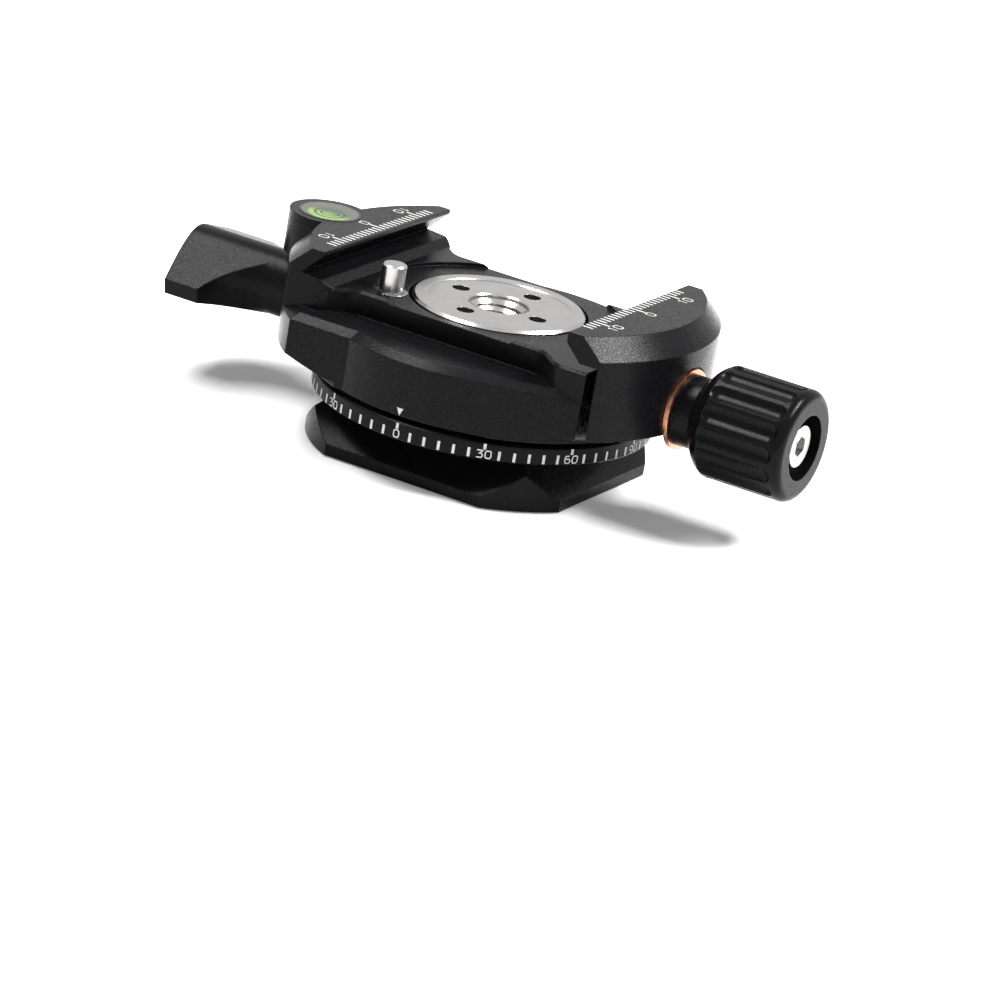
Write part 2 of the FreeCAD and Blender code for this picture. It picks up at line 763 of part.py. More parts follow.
def clamp_knob():
    neck = s.knob_neck_length
    fillet = s.knob_neck_fillet
    barrel = neck + fillet + s.knob_shoulder_length
    end = s.knob_length
    bore = s.clamp_spindle_radius + s.seat_clearance
    floor = end - s.knob_screw_seat
    pocket = s.end_screw_radius + s.running_clearance
    recess = s.knob_end_recess_radius
    recess_at = end - s.knob_end_recess_depth
    profile = [(bore, 0), (s.knob_neck_radius, 0), (s.knob_neck_radius, neck, fillet, RIGHT),
               (s.knob_neck_radius + fillet, neck + fillet, s.knob_shoulder_radius, LEFT),
               (s.knob_radius, barrel), (s.knob_radius, end - s.knob_end_radius, s.knob_end_radius, LEFT),
               (s.knob_radius - s.knob_end_radius, end), (recess, end), (recess, recess_at),
               (pocket, recess_at), (pocket, floor), (bore, floor)]
    blank = turned("KnobBlank", profile, (knob_start, 0, s.clamp_axis_height), X_OUT)
    node(cut("ClampKnob", blank, *flutes(knob_start + barrel)), "clamp_knob")


def flutes(start):
    """Round-ended grooves along the knob's barrel."""
    count = int(SIZES["flute_count"])
    circle = s.knob_radius + s.flute_radius - s.flute_depth
    first = start + s.flute_margin
    last = knob_end - s.knob_end_radius - s.flute_margin
    tools = []
    for index in range(count):
        angle = size(index * 360.0 / count)
        at_y = circle * cosine(angle)
        at_z = s.clamp_axis_height + circle * sine(angle)
        tools.append(cylinder(f"Flute{index}_", s.flute_radius, last - first, (first, at_y, at_z), X_OUT))
        for end in (first, last):
            tools.append(ball(f"FluteEnd{len(tools)}_", s.flute_radius, (end, at_y, at_z)))
    return tools


def clamp_screw():
    node(ring("CopperWasher", s.clamp_spindle_radius + s.running_clearance, s.copper_washer_radius,
              s.copper_washer_height, (knob_pocket_face, 0, s.clamp_axis_height), X_OUT),
         "copper_washer")
    clamp_spindle()
    clamp_knob()
    end_screw("KnobScrew", "knob_end_screw", clamp_spindle_end, s.clamp_axis_height, X_OUT, 1)


# Pan lock: brake shoe, stud and winged lever.


def brake_shoe():
    inner = s.spindle_radius - s.brake_groove_depth + s.shoe_gap
    plug = cylinder("ShoePlug", s.shoe_radius, s.shoe_end, (0, 0, s.lock_axis_height), X_BACK)
    face = cylinder("ShoeFace", inner, jaw_top)
    width = s.brake_groove_width - 2 * s.running_clearance
    shoulder = ring("ShoeShoulder", inner - OVERRUN, s.spindle_radius + s.shoe_gap, jaw_top)
    window = box("ShoeWindow", (2 * s.shoe_end, 2 * s.shoe_end, width),
                 (-2 * s.shoe_end, -s.shoe_end, s.lock_axis_height - width / 2))
    node(cut("BrakeShoe", plug, face, cut("ShoeShoulders", shoulder, window)), "brake_shoe")


def lock_stud():
    start = s.shoe_end + s.running_clearance
    rod = cylinder("LockRod", s.lock_stud_radius, lock_stud_end - start,
                   (-start, 0, s.lock_axis_height), X_BACK)
    bore_start = lock_stud_end - s.end_screw_grip - s.end_screw_tip_gap
    bore = cylinder("LockRodBore", s.end_screw_shank + s.seat_clearance, s.end_screw_grip + OVERRUN,
                    (-bore_start, 0, s.lock_axis_height), X_BACK)
    node(cut("LockStud", rod, bore), "lock_stud")


def lever_rings():
    bore = s.lock_stud_radius + s.seat_clearance
    node(ring("LeverWasher", bore, s.lever_washer_radius, s.lever_washer_height,
              (-lever_washer_start, 0, s.lock_axis_height), X_BACK), "lever_washer")
    collar_start = lever_washer_start + s.lever_washer_height
    node(ring("LeverCollar", bore, s.lever_collar_radius, s.lever_collar_height,
              (-collar_start, 0, s.lock_axis_height), X_BACK), "lever_collar")


def tangent_point(reach):
    """Where the flat that runs in from a wing's tip corner touches the lever's barrel."""
    tip = s.lever_wing_tip / 2
    span = reach * reach + tip * tip
    drop = root(span - s.lever_radius * s.lever_radius)
    along = (s.lever_radius * reach - drop * tip) * s.lever_radius / span
    up = (s.lever_radius * tip + drop * reach) * s.lever_radius / span
    return along, up


def wing_outline():
    """Section of the two wings, the long one towards +X, with flats that are tangent to the barrel."""
    tip = s.lever_wing_tip / 2
    long_along, long_up = tangent_point(s.lever_long_wing)
    short_along, short_up = tangent_point(s.lever_short_wing)
    upper = [(s.lever_long_wing, tip), (long_along, long_up), (-short_along, short_up),
             (-s.lever_short_wing, tip)]
    return upper + [(across, -rise) for across, rise in reversed(upper)]


def lock_lever():
    """A turned blank, narrow at its root and bevelled at its end, with its long wing towards -Y."""
    tilt = FreeCAD.Rotation(FreeCAD.Vector(0, 0, 1), -90 - s.lever_turn.value)
    turn = X_BACK * tilt
    at = (-lever_start, 0, s.lock_axis_height)
    wing_start = lever_start + s.lever_root_length
    wing_length = s.lever_length - s.lever_root_length
    rim = s.lever_long_wing + s.lever_wing_tip
    shoulder = wing_length - s.lever_bevel
    profile = [(0, 0), (rim, 0), (rim, shoulder), (s.lever_long_wing, shoulder),
               (s.lever_radius, wing_length), (0, wing_length)]
    wings_at = (-wing_start, 0, s.lock_axis_height)
    blank = turned("LeverTurned", profile, wings_at, turn)
    section = padded("LeverWings", "XY_Plane", wing_outline(), wing_length, wings_at, turn)
    scoop = doc.addObject("Part::Torus", "LeverScoop")
    bind(scoop, "Radius1", s.lever_radius - s.running_clearance + s.lever_scoop_radius)
    bind(scoop, "Radius2", s.lever_scoop_radius)
    place(scoop, wings_at, turn)
    wings = cut("LeverScooped", common("LeverWinged", section, blank), scoop)
    barrel = cylinder("LeverBarrel", s.lever_radius, s.lever_length, at, turn)
    bore = cylinder("LeverBore", s.lock_stud_radius + s.seat_clearance, s.lever_length, at, turn)
    end_bore = cylinder("LeverEndBore", s.lever_end_bore_radius, s.lever_length,
                        (s.lever_end_bore_depth - lever_end, 0, s.lock_axis_height), turn)
    screw_seat = cylinder("LeverScrewSeat", s.end_screw_radius + s.running_clearance, s.lever_length,
                          (-lock_stud_end, 0, s.lock_axis_height), turn)
    node(cut("LockLever", fused("LeverBlank", barrel, wings), bore, end_bore, screw_seat), "lock_lever")


def pan_lock():
    brake_shoe()
    lock_stud()
    lever_rings()
    lock_lever()
    end_screw("LeverScrew", "lever_end_screw", lock_stud_end, s.lock_axis_height, X_BACK, -1)


# Sprung stop pin.


def stop_pin():
    at = (s.pin_x, s.pin_y, 0)
    collar_top = s.pin_bush_bottom - s.running_clearance
    collar_bottom = collar_top - s.pin_collar_height
    profile = [(0, collar_bottom), (s.pin_collar_radius, collar_bottom),
               (s.pin_collar_radius, collar_top), (s.pin_radius, collar_top),
               (s.pin_radius, s.pin_top - s.pin_crown), (s.pin_radius - s.pin_crown, s.pin_top),
               (0, s.pin_top)]
    node(turned("StopPin", profile, at), "stop_pin")
    node(ring("PinBush", s.pin_radius + s.running_clearance, s.pin_bush_radius,
              recess_floor + s.pin_bush_proud - s.pin_bush_bottom,
              (s.pin_x, s.pin_y, s.pin_bush_bottom)), "pin_bush")
    plug_bottom = body_bottom + s.pin_plug_sink
    node(cylinder("PinPlug", s.pin_bush_radius, s.pin_plug_height, (s.pin_x, s.pin_y, plug_bottom)),
         "pin_plug")
    low = (plug_bottom + s.pin_plug_height).value
    spring = coil(s.pin_spring_radius.value, s.pin_spring_wire.value, s.pin_spring_turns.value,
                  collar_bottom.value - low)
    spring.translate(FreeCAD.Vector(s.pin_x.value, s.pin_y.value, low))
    solid_feature("pin_spring", spring)


# Bubble level.


def bubble_level():
    floor = level_top - s.level_depth
    inner = s.level_radius - s.level_wall
    liquid_bottom = floor + s.level_floor
    lens_bottom = level_top - s.level_lens_height
    at = (level_x, 0, 0)
    cup = [(0, floor), (s.level_radius, floor), (s.level_radius, level_top), (inner, level_top),
           (inner, liquid_bottom), (0, liquid_bottom)]
    node(turned("LevelCup", cup, at), "level_cup")
    inside = inner - s.seat_clearance
    bubble_bottom = lens_bottom - s.level_bubble_height
    liquid = cylinder("LevelFill", inside, lens_bottom - liquid_bottom, (level_x, 0, liquid_bottom))
    space = cylinder("BubbleSpace", s.level_bubble_radius, s.level_bubble_height,
                     (level_x, 0, bubble_bottom))
    node(cut("LevelLiquid", liquid, space), "level_liquid")
    node(cylinder("LevelBubble", s.level_bubble_radius, s.level_bubble_height,
                  (level_x, 0, bubble_bottom)), "level_bubble")
    node(cylinder("LevelLens", inside, s.level_lens_height, (level_x, 0, lens_bottom)), "level_lens")


def check(item):
    """Stop on a feature that failed or a sub-part with no sound shape."""
    for feature in doc.Objects:
        if "Invalid" in feature.State or "Error" in feature.State:
            raise RuntimeError(f"{feature.Name} failed: {feature.State}")
    if item.Shape.isNull() or not item.Shape.isValid():
        raise RuntimeError(f"{item.Label} has no valid shape")


base_plate()
scale_ring()
pan_spindle()
top_disc()
pan_washers()
head_body()
bubble_level()
moving_jaw()
jaw_guides()
clamp_screw()
pan_lock()
stop_pin()
doc.recompute()

os.makedirs("parts", exist_ok=True)
for finished in nodes:
    check(finished)
for finished in nodes:
    finished.Shape.exportStep(f"parts/{finished.Label}.step")
    print(finished.Label, len(finished.Shape.Solids), round(finished.Shape.Volume, 2))
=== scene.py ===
"""Looks of the panoramic tripod head: anodised black, steel, copper, filled scales and a level.

Every size is in metres. The marks and threads that are made here lie on the frame's own parts.
"""
import math

import bmesh
import bpy
from bpy.props import FloatProperty, FloatVectorProperty, IntProperty, PointerProperty
from mathutils import Matrix, Vector


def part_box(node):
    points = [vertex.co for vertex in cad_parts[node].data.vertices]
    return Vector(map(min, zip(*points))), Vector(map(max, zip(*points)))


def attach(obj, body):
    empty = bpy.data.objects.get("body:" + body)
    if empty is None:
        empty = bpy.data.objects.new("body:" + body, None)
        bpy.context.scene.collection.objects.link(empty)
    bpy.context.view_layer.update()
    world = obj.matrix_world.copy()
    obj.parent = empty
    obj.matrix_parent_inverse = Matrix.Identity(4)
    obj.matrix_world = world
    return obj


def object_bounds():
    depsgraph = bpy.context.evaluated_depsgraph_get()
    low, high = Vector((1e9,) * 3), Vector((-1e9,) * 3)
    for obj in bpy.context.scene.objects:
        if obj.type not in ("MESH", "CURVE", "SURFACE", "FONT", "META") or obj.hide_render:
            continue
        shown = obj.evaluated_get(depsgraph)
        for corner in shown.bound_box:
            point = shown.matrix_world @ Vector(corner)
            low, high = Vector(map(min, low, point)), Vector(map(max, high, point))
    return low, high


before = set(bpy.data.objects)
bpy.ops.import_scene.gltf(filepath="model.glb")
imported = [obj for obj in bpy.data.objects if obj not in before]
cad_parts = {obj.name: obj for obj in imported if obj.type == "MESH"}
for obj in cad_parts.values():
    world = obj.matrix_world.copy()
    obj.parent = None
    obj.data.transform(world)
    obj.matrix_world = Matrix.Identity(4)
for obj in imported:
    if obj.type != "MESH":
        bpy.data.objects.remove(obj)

bl_info = {
    "name": "Panoramic Tripod Head",
    "version": (1, 0, 0),
    "blender": (4, 5, 0),
    "location": "View3D > Sidebar > Pan Head",
    "description": "Finishes, scales and studio for a panoramic tripod head",
    "category": "Object",
}

CAD_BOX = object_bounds()
MM = 0.001


def colour(name, description, default):
    return FloatVectorProperty(name=name, description=description, subtype="COLOR", size=3,
                               min=0.0, max=1.0, default=default)


def length(name, description, millimetres):
    return FloatProperty(name=name, description=description, subtype="DISTANCE", unit="LENGTH",
                         precision=5, min=0.0, default=millimetres * MM)


def angle(name, description, degrees):
    return FloatProperty(name=name, description=description, subtype="ANGLE", unit="ROTATION",
                         default=math.radians(degrees))


class FinishSettings(bpy.types.PropertyGroup):
    """Colours and grain of the materials."""

    anodised: colour("Anodised", "Black of the blasted and anodised aluminium",
                     (0.0032, 0.0033, 0.0037))
    skin_index: FloatProperty(name="Skin index", default=1.14, min=1.0,
                              description="Refractive index of the anodised skin")
    steel: colour("Steel", "Turned stainless steel", (0.45, 0.44, 0.43))
    copper: colour("Copper", "Thrust washer under the knob", (0.80, 0.36, 0.23))
    print_white: colour("Print", "White of the engraved scales", (0.60, 0.60, 0.58))
    liquid: colour("Liquid", "Liquid of the bubble level", (0.60, 0.86, 0.20))
    grain: length("Grain", "Size of one dimple of the blasted surface", 0.15)
    edge: length("Edge", "Radius to which sharp edges are broken", 0.25)
    lever_edge: length("Lever edge", "Radius of the lever's edges", 0.40)
    knob_edge: length("Knob edge", "Radius of the edges of the knob and the lever's collar", 0.15)


class ScaleSettings(bpy.types.PropertyGroup):
    """Ticks and numbers of the degree ring and of the rulers on the jaws."""

    ink: length("Ink", "How far the filled engraving stands proud of the surface", 0.012)
    stroke: length("Stroke", "Width of a number's line", 0.15)
    tick_width: length("Tick width", "Width of a tick on the degree ring", 0.36)
    tick_step: angle("Tick step", "Angle between two ticks of the degree ring", 5)
    number_step: angle("Number step", "Angle between two numbers of the degree ring", 30)
    ring_tick: length("Ring tick", "Height of a short tick on the degree ring", 1.2)
    ring_margin: length("Ring margin", "Plain rim under the marks of the degree ring", 0.25)
    ring_number: length("Ring number", "Height of the degree ring's numbers", 1.1)
    long_tick: length("Long tick", "Height of the tick over a number of the degree ring", 0.74)
    long_rise: length("Long rise", "Height of that tick's middle over the short ticks", 0.42)
    ruler_pitch: length("Ruler pitch", "Distance between two ticks of a jaw's ruler", 0.947)
    ruler_tick: length("Ruler tick", "Length of a short tick of a jaw's ruler", 1.45)
    ruler_width: length("Ruler width", "Width of a tick of a jaw's ruler", 0.3)
    ruler_ticks: IntProperty(name="Ruler ticks", description="Ticks on each side of the zero",
                             default=13)
    ruler_step: IntProperty(name="Ruler step", description="Ticks from one number to the next",
                            default=10)
    ruler_extra: length("Ruler extra", "How much longer a numbered tick of a ruler is", 0.9)
    ruler_number: length("Ruler number", "Height of the ruler's numbers", 1.4)
    ruler_drop: length("Ruler drop", "Distance of the numbers from the short ticks' middle", 2.45)
    fixed_lip: length("Fixed lip", "Distance of the fixed jaw's lip from the pan axis", 17.5)
    fixed_margin: length("Fixed margin", "Distance of the fixed ruler from its jaw's lip", 1.28)
    moving_margin: length("Moving margin", "Distance of the moving ruler from its jaw's lip", 0.6)
    index_tip: length("Index tip", "Height of the index triangle's tip", 9.56)
    index_half: length("Index half", "Half of the index triangle's width", 0.46)
    index_rise: length("Index rise", "Height of the index triangle", 0.98)


class LevelSettings(bpy.types.PropertyGroup):
    """Circles of the bubble level."""

    circle: length("Circle", "Radius of the black circle over the liquid", 1.95)
    inside: length("Inside", "Radius to which the liquid is seen", 2.7)
    bubble_circle: length("Bubble circle", "Radius of the black circle on the bubble", 1.2)
    bubble_inside: length("Bubble inside", "Radius to which the bubble is clear", 1.6)
    # Painted refraction: the duller ring drawn round the rim of the liquid and of the bubble, for
    # what the lens shows there.
    wall: colour("Wall", "Wall of the vial round the liquid", (0.30, 0.29, 0.23))


class ThreadSettings(bpy.types.PropertyGroup):
    """The tripod threads in the spindle and in the foot."""

    radius: length("Radius", "Major radius of the thread", 3.175)
    pitch: length("Pitch", "Rise of the thread in one turn", 1.27)
    depth: length("Depth", "Depth of the thread's profile", 0.55)
    flank: FloatProperty(name="Flank", default=0.42, min=0.0,
                         description="Half of the ridge's root, as a share of the pitch")
    crest: length("Crest", "Half of the ridge's flat crest", 0.08)
    sink: length("Sink", "How far the ridge's root reaches into the bore's wall", 0.01)
    run_out: FloatProperty(name="Run-out", description="Part of a turn over which each end tapers",
                           default=0.25, min=0.0)
    lead: length("Lead", "Plain length at the thread's mouth", 0.45)
    spindle_length: length("Spindle thread", "Depth to which the spindle is threaded", 6.4)
    foot_length: length("Foot thread", "Height to which the foot is threaded", 4.4)
    facets: IntProperty(name="Facets", description="Straight pieces in one turn of the thread",
                        default=60)


class StageSettings(bpy.types.PropertyGroup):
    """Floor, lamps and camera."""

    floor: colour("Floor", "Colour of the floor", (0.93, 0.93, 0.93))
    floor_lift: FloatProperty(name="Floor lift", description="How much paler the floor is shown",
                              default=0.20, min=0.0)
    fill: FloatProperty(name="Fill", description="Light that comes from all sides",
                        default=0.15, min=0.0)
    azimuth: angle("Azimuth", "Turn of the camera about the pan axis", 26.457)
    elevation: angle("Elevation", "Height of the camera above the horizon", 18.923)
    roll: angle("Roll", "Tilt of the camera about its own axis", 9.659)
    distance: length("Distance", "Distance of the camera from the frame's origin", 728.3)
    offset_right: length("Offset right", "Sideways place of the camera", 3.315)
    offset_up: FloatProperty(name="Offset up", description="Upward place of the camera",
                             unit="LENGTH", default=-6.416 * MM)
    lens: FloatProperty(name="Lens", description="Focal length in millimetres on a 36 mm frame",
                        default=202.5, min=10.0)


GROUPS = {
    "panhead_finish": FinishSettings,
    "panhead_scales": ScaleSettings,
    "panhead_level": LevelSettings,
    "panhead_threads": ThreadSettings,
    "panhead_stage": StageSettings,
}


# Shader maths.


class Field:
    """A socket of a shader that takes part in plain arithmetic."""

    def __init__(self, shader, socket):
        self.shader = shader
        self.socket = socket

    def combined(self, operation, first, second):
        return self.shader.add("ShaderNodeMath", {"operation": operation}, {0: first, 1: second})

    def __add__(self, other):
        return self.combined("ADD", self, other)

    def __radd__(self, other):
        return self.combined("ADD", other, self)

    def __sub__(self, other):
        return self.combined("SUBTRACT", self, other)

    def __rsub__(self, other):
        return self.combined("SUBTRACT", other, self)

    def __mul__(self, other):
        return self.combined("MULTIPLY", self, other)

    def __rmul__(self, other):
        return self.combined("MULTIPLY", other, self)

    def __pow__(self, other):
        return self.combined("POWER", self, other)

    def __rpow__(self, other):
        return self.combined("POWER", other, self)

    def clamped(self, low=0.0, high=1.0):
        """The value brought from low..high to 0..1, and held there."""
        return self.shader.add("ShaderNodeMapRange", {"clamp": True},
                               {"Value": self, "From Min": low, "From Max": high})


class Shader:
    """The nodes of one material, or of the world."""

    def __init__(self, owner, surface="Principled BSDF"):
        self.owner = bpy.data.materials.new(owner) if isinstance(owner, str) else owner
        self.owner.use_nodes = True
        self.tree = self.owner.node_tree
        self.surface = self.tree.nodes[surface]

    def add(self, kind, settings=None, sockets=None, output=0):
        """Make a node: its settings first, then the values or links of its sockets."""
        node = self.tree.nodes.new(kind)
        for name, value in (settings or {}).items():
            setattr(node, name, value)
        for key, value in (sockets or {}).items():
            self.feed(node.inputs[key], value)
        return Field(self, node.outputs[output])

    def feed(self, socket, value):
        """Link a field to a socket, or set the socket's own value."""
        if isinstance(value, Field):
            self.tree.links.new(value.socket, socket)
        elif socket.type == "RGBA":
            socket.default_value = (*value, 1.0)
        else:
            socket.default_value = value

    def set(self, **values):
        """Set the surface's sockets; base_color stands for Base Color, and so on."""
        names = {socket.name.lower().replace(" ", "_"): socket for socket in self.surface.inputs}
        for name, value in values.items():
            self.feed(names[name], value)

    def place(self):
        """Where a point of the surface lies, in the frame's own metres."""
        return self.add("ShaderNodeTexCoord", output="Object")

    def coordinates(self):
        """The three numbers of that place."""
        return self.outputs("ShaderNodeSeparateXYZ", {0: self.place()}, (0, 1, 2))

    def outputs(self, kind, sockets, keys):
        """Several outputs of one node."""
        node = self.add(kind, {}, sockets).socket.node
        return [Field(self, node.outputs[key]) for key in keys]

    def reach_from(self, axis_x, axis_y):
        """How far a point lies from an upright axis."""
        x, y = self.coordinates()[:2]
        across, along = x - axis_x, y - axis_y
        return (across * across + along * along) ** 0.5

    def shown(self):
        """One for rays that show a background: from the camera, mirrored or through glass."""
        seen, mirrored, through = self.outputs("ShaderNodeLightPath", {}, (
            "Is Camera Ray", "Is Glossy Ray", "Is Transmission Ray"))
        return (seen + mirrored + through).clamped()

    def noise(self, size, detail=2.0, roughness=0.5):
        """Cloudy noise from 0 to 1 whose blobs are about as wide as size."""
        return self.add("ShaderNodeTexNoise", {"noise_dimensions": "3D"},
                        {"Vector": self.place(), "Scale": 1.0 / size, "Detail": detail,
                         "Roughness": roughness})

    def mixed(self, mask, first, second):
        """A colour between first and second."""
        return self.add("ShaderNodeMix", {"data_type": "RGBA"}, {0: mask, 6: first, 7: second},
                        output=2)

    def rounded(self, radius):
        """The surface's normal with sharp edges broken to a radius."""
        return self.add("ShaderNodeBevel", {"samples": 6}, {"Radius": radius})

    def edge_mask(self, radius):
        """One along sharp edges, nothing on flats: the mask of the painted edge highlight."""
        flat = self.add("ShaderNodeNewGeometry", output="Normal")
        along = self.add("ShaderNodeVectorMath", {"operation": "DOT_PRODUCT"},
                         {0: flat, 1: self.rounded(radius)}, output="Value")
        return (1.0 - along).clamped(0.02, 0.3)

    def bump(self, height, depth, normal=None):
        """A normal tilted by a height from 0 to 1 that is depth deep."""
        sockets = {"Height": height, "Distance": depth, "Strength": 1.0}
        if normal:
            sockets["Normal"] = normal
        return self.add("ShaderNodeBump", {}, sockets)


# The part of the noise over which a cloud or a fleck grows from nothing to full.
CLOUD = (0.3, 0.7)
FLECK = (0.44, 0.66)
# Radius to which the edges of steel parts are broken.
STEEL_EDGE = 0.08 * MM


def shade(tint, factor):
    """A colour made darker or paler."""
    return tuple(channel * factor for channel in tint)


def blasted_black(name, finish, roughness=0.24, coarseness=1.0, edge=None):
    """Bead-blasted aluminium with a black anodised skin, whose dimples glint in the light, and a
    painted highlight along its edges.
    """
    shader = Shader(name)
    edge = edge or finish.edge
    grain = shader.noise(finish.grain, 0.5, 0.5)
    cloud = shader.noise(9 * MM, 2.0)
    edges = shader.edge_mask(edge)
    fleck = grain.clamped(*FLECK)
    base = shader.mixed(cloud.clamped(*CLOUD), shade(finish.anodised, 0.6), finish.anodised)
    base = shader.mixed(fleck * 0.3 * coarseness, base, shade(finish.anodised, 4))
    # Painted highlight: sharp edges are painted paler, as where rounded edges catch the light.
    base = shader.mixed(edges * 0.5, base, shade(finish.anodised, 6))
    shader.set(base_color=base, ior=finish.skin_index,
               roughness=roughness + (0.4 - fleck) * 0.12 * coarseness + (cloud - 0.5) * 0.06,
               coat_weight=fleck * 0.6 * coarseness, coat_ior=finish.skin_index,
               coat_roughness=roughness,
               normal=shader.bump(grain, 0.024 * MM * coarseness, shader.rounded(edge)))
    return shader.owner


def turned_steel(name, finish, axis_x, axis_y, roughness=0.2):
    """Steel with the fine rings that a lathe leaves about an upright axis."""
    shader = Shader(name)
    line = shader.add("ShaderNodeCombineXYZ", {}, {0: shader.reach_from(axis_x, axis_y)})
    rings = shader.add("ShaderNodeTexNoise", {"noise_dimensions": "3D"},
                       {"Vector": line, "Scale": 1.0 / (0.09 * MM), "Detail": 3.0})
    cloud = shader.noise(2.5 * MM, 3.0)
    base = shader.mixed(cloud.clamped(0.25, 0.75), shade(finish.steel, 0.86), finish.steel)
    shader.set(base_color=base, metallic=1.0, roughness=roughness + (rings - 0.5) * 0.12,
               normal=shader.bump(rings, 0.0015 * MM, shader.rounded(STEEL_EDGE)))
    return shader.owner


def plain_steel(name, finish, roughness=0.24):
    """Bright steel of small turned parts."""
    shader = Shader(name)
    cloud = shader.noise(0.6 * MM, 3.0)
    base = shader.mixed(cloud, shade(finish.steel, 0.8), finish.steel)
    shader.set(base_color=base, metallic=1.0, roughness=roughness + (cloud - 0.5) * 0.15,
               normal=shader.bump(cloud, 0.002 * MM, shader.rounded(STEEL_EDGE)))
    return shader.owner


def turned_copper(name, finish):
    """Copper that has begun to dull."""
    shader = Shader(name)
    cloud = shader.noise(0.8 * MM, 3.0)
    base = shader.mixed(cloud.clamped(0.35, 0.65), shade(finish.copper, 0.62), finish.copper)
    shader.set(base_color=base, metallic=1.0, roughness=0.30 + (cloud - 0.5) * 0.2,
               normal=shader.bump(cloud, 0.003 * MM))
    return shader.owner


def filled_print(name, finish):
    """White paint in a laser-cut mark, a little uneven."""
    shader = Shader(name)
    cloud = shader.noise(0.35 * MM, 2.0)
    base = shader.mixed(cloud.clamped(*CLOUD), shade(finish.print_white, 0.72), finish.print_white)
    shader.set(base_color=base, roughness=0.55)
    return shader.owner


def polymer(name, base, roughness):
    """Moulded polymer."""
    shader = Shader(name)
    cloud = shader.noise(0.5 * MM, 2.0)
    shader.set(base_color=shader.mixed(cloud, shade(base, 0.85), base),
               roughness=roughness + (cloud - 0.5) * 0.1,
               normal=shader.bump(cloud, 0.002 * MM))
    return shader.owner


def clear_lens(name):
    """Clear acrylic with a little haze."""
    shader = Shader(name)
    haze = shader.noise(1.5 * MM, 2.0)
    shader.set(base_color=(0.97, 0.98, 0.96), roughness=0.02 + haze * 0.03, ior=1.45,
               transmission_weight=1.0)
    return shader.owner


def level_fill(name, finish, axis_x, circle, inside, wall):
    """Yellow-green liquid that glows as painted light, with painted shade towards the back, a black
    circle, and a duller ring painted round its rim for the refraction seen there.
    """
    shader = Shader(name)
    y = shader.coordinates()[1]
    reach = shader.reach_from(axis_x, 0.0)
    cloud = shader.noise(1.2 * MM, 2.0)
    bright = shader.mixed(cloud.clamped(*CLOUD), shade(finish.liquid, 0.85), finish.liquid)
    depth = 0.9 * MM
    # Painted shade: the liquid is drawn darker towards the back.
    shaded = shader.mixed(y.clamped(-depth, depth) * 0.8, bright, (0.10, 0.17, 0.15))
    # Painted refraction: past the inside radius the liquid takes the duller rim colour.
    tint = shader.mixed(reach.clamped(inside, inside + 0.4 * MM), shaded, wall)
    near, far = 0.1 * MM, 0.2 * MM
    line = reach.clamped(circle - far, circle - near) - reach.clamped(circle + near, circle + far)
    tint = shader.mixed(line, tint, (0.004, 0.005, 0.004))
    # The liquid glows with its own colour: painted light, for it is no lamp.
    shader.set(base_color=tint, roughness=0.12, emission_color=tint, emission_strength=0.35)
    return shader.owner


# Flat marks: polygons in a plane that are laid on a surface as thin closed plates.


DIGITS = {
    "0": [[(0, .2), (.2, 0), (.8, 0), (1, .2), (1, .8), (.8, 1), (.2, 1), (0, .8), (0, .2)]],
    "1": [[(.25, .82), (.55, 1), (.55, 0)]],
    "2": [[(0, .8), (.2, 1), (.8, 1), (1, .8), (1, .6), (0, 0), (1, 0)]],
    "3": [[(0, 1), (1, 1), (.5, .58), (.8, .58), (1, .4), (1, .2), (.8, 0), (0, 0)]],
    "5": [[(1, 1), (0, 1), (0, .58), (.8, .58), (1, .4), (1, .2), (.8, 0), (0, 0)]],
    "6": [[(.8, 1), (.2, 1), (0, .8), (0, .2), (.2, 0), (.8, 0), (1, .2), (1, .4), (.8, .58),
           (0, .58)]],
    "8": [[(.2, 0), (.8, 0), (1, .2), (1, .4), (.8, .55), (1, .7), (1, .85), (.8, 1), (.2, 1),
           (0, .85), (0, .7), (.2, .55), (0, .4), (0, .2), (.2, 0)], [(.2, .55), (.8, .55)]],
    "9": [[(.2, 0), (.8, 0), (1, .2), (1, .8), (.8, 1), (.2, 1), (0, .8), (0, .6), (.2, .42),
           (1, .42)]],
}
DIGIT_SHAPE = 0.78
DIGIT_GAP = 0.32
MITRE_LIMIT = 0.35


def rectangle(middle, half_width, half_height):
    """The corners of an upright rectangle round a point."""
    across, up = middle
    return [(across - half_width, up - half_height), (across + half_width, up - half_height),
            (across + half_width, up + half_height), (across - half_width, up + half_height)]


def stroked(points, width):
    """Quads that give a line of points a width, with mitred corners."""
    line = [Vector(point) for point in points]
    closed = (line[0] - line[-1]).length < 1e-9
    if closed:
        line = line[:-1]
    sides = []
    count = len(line)
    for index, point in enumerate(line):
        before = line[index - 1] if closed or index > 0 else None
        after = line[(index + 1) % count] if closed or index < count - 1 else None
        into = (point - before).normalized() if before is not None else (after - point).normalized()
        out = (after - point).normalized() if after is not None else into
        normal = Vector((-into.y - out.y, into.x + out.x)).normalized()
        reach = width / 2 / max(MITRE_LIMIT, normal.dot(Vector((-into.y, into.x))))
        sides.append((point - normal * reach, point + normal * reach))
    last = count if closed else count - 1
    quads = []
    for index in range(last):
        right, left = sides[index]
        next_right, next_left = sides[(index + 1) % count]
        quads.append([tuple(right), tuple(next_right), tuple(next_left), tuple(left)])
    return quads


def written(text, middle, height, stroke):
    """The quads of a number, centred on a point."""
    inner = height - stroke
    width = inner * DIGIT_SHAPE
    step = width + height * DIGIT_GAP
    start = middle[0] - (step * (len(text) - 1) + width) / 2
    quads = []
    for place, digit in enumerate(text):
        for line in DIGITS[digit]:
            points = [(start + place * step + x * width, middle[1] - inner / 2 + y * inner)
                      for x, y in line]
            quads.extend(stroked(points, stroke))
    return quads


